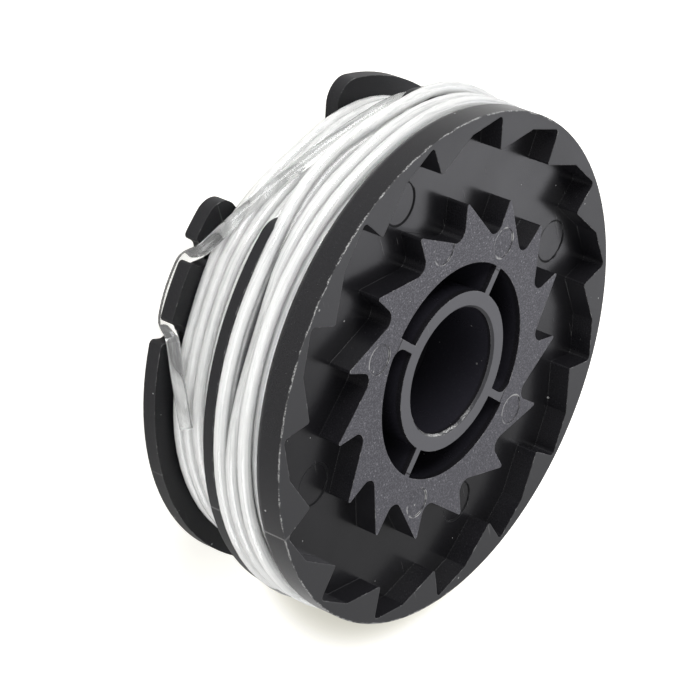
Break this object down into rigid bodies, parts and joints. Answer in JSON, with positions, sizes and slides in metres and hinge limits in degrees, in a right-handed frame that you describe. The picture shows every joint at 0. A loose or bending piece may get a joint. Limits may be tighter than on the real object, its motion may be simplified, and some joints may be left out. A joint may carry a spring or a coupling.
{
  "type": "trimmer line spool",
  "caption": "Wound trimmer line spool: a black moulded reel with rings of ratchet teeth on its front flange, line wound on both sides of a divider, and slots that hold the line ends.",
  "frame": {"origin": "centre of the bore in the lower face of the bearing ring", "axes": "+Z along the bore towards the toothed flange, +Y through the middle of the cut-out beside the visible line end"},
  "size_m": [0.065, 0.065, 0.0238],
  "materials": {
    "black_moulding": "moulded black nylon, satin floor and fine grained tooth tops",
    "nylon_line": "smooth milky white extruded nylon"
  },
  "bodies": {
    "root": {"spool_body": "black_moulding", "front_line_winding": "nylon_line", "rear_line_winding": "nylon_line", "front_line_end": "nylon_line", "rear_line_end": "nylon_line"}
  },
  "joints": []
}
